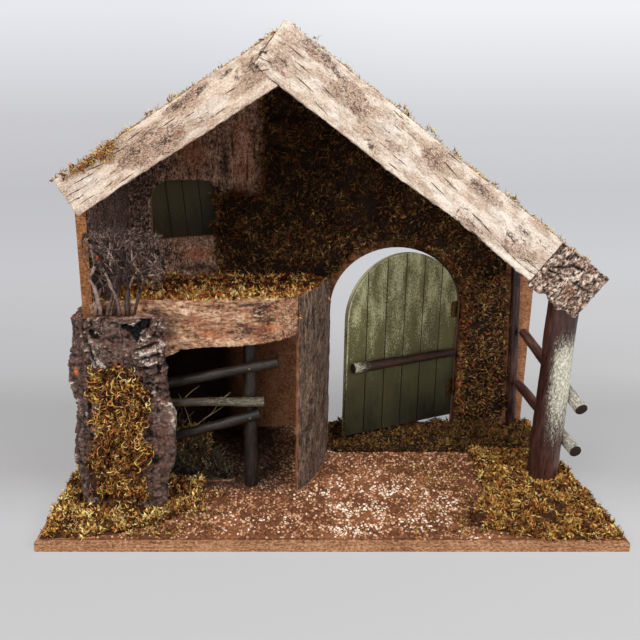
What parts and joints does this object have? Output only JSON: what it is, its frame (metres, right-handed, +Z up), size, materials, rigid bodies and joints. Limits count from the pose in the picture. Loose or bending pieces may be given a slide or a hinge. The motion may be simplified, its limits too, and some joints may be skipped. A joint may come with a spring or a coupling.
{
  "type": "nativity stable",
  "caption": "Small wooden nativity stable with a bark-edged pitched roof, a loft, a stall, moss ground and an arched door that swings inward.",
  "frame": {"origin": "middle of the underside of the base board", "axes": "+Z up, +X to the right of a viewer who faces the open front, -Y towards that viewer"},
  "size_m": [0.5, 0.25, 0.4302],
  "materials": {
    "board": "raw softboard, sawn edge",
    "birch_bark": "pale birch bark with dark dashes",
    "rough_bark": "rough grey-brown bark with lichen",
    "peeled_bark": "thin grained bark sheet",
    "branch": "smooth dark branch with lichen",
    "twig": "dry grey twig",
    "green_paint": "dull green paint, dry-brushed pale",
    "moss": "dry natural moss",
    "gravel": "fine crushed stone",
    "hay": "dry hay",
    "brass": "small brass hinge",
    "steel": "screws and nails"
  },
  "bodies": {
    "stable": {"base_board": "board", "ground_moss_left": "moss", "ground_moss_right": "moss", "ground_moss_back": "moss", "gravel_bed": "gravel", "back_wall": "board", "left_wall": "board", "side_bark": "rough_bark", "wall_bark": "peeled_bark", "wall_moss": "moss", "roof_left": "board", "roof_right": "board", "roof_moss_left": "moss", "roof_moss_right": "moss", "fascia_left": "birch_bark", "fascia_right": "birch_bark", "fascia_end": "rough_bark", "loft_floor": "board", "loft_moss": "moss", "loft_apron": "peeled_bark", "loft_post": "peeled_bark", "corner_pier": "rough_bark", "pier_moss": "moss", "brushwood": "twig", "window_shutter": "green_paint", "wall_hinge_leaves": "brass", "hinge_pins": "brass", "front_post": "branch", "back_post": "branch", "side_rail_upper": "branch", "side_rail_lower": "branch", "rail_nails": "steel", "stall_post": "branch", "stall_rail_upper": "branch", "stall_rail_mid": "branch", "stall_rail_lower": "branch", "stall_nails": "steel", "hay": "hay", "base_screws": "steel", "loft_screws": "steel"},
    "door": {"door": "green_paint", "door_bar": "branch", "door_bar_nails": "steel", "door_hinge_leaves": "brass"}
  },
  "joints": [
    {"name": "door_swing", "type": "hinge", "parent": "stable", "child": "door", "pos_m": [0.1564, 0.1089, 0.1], "axis": [0, 0, 1], "range_deg": [-25, 45]}
  ]
}
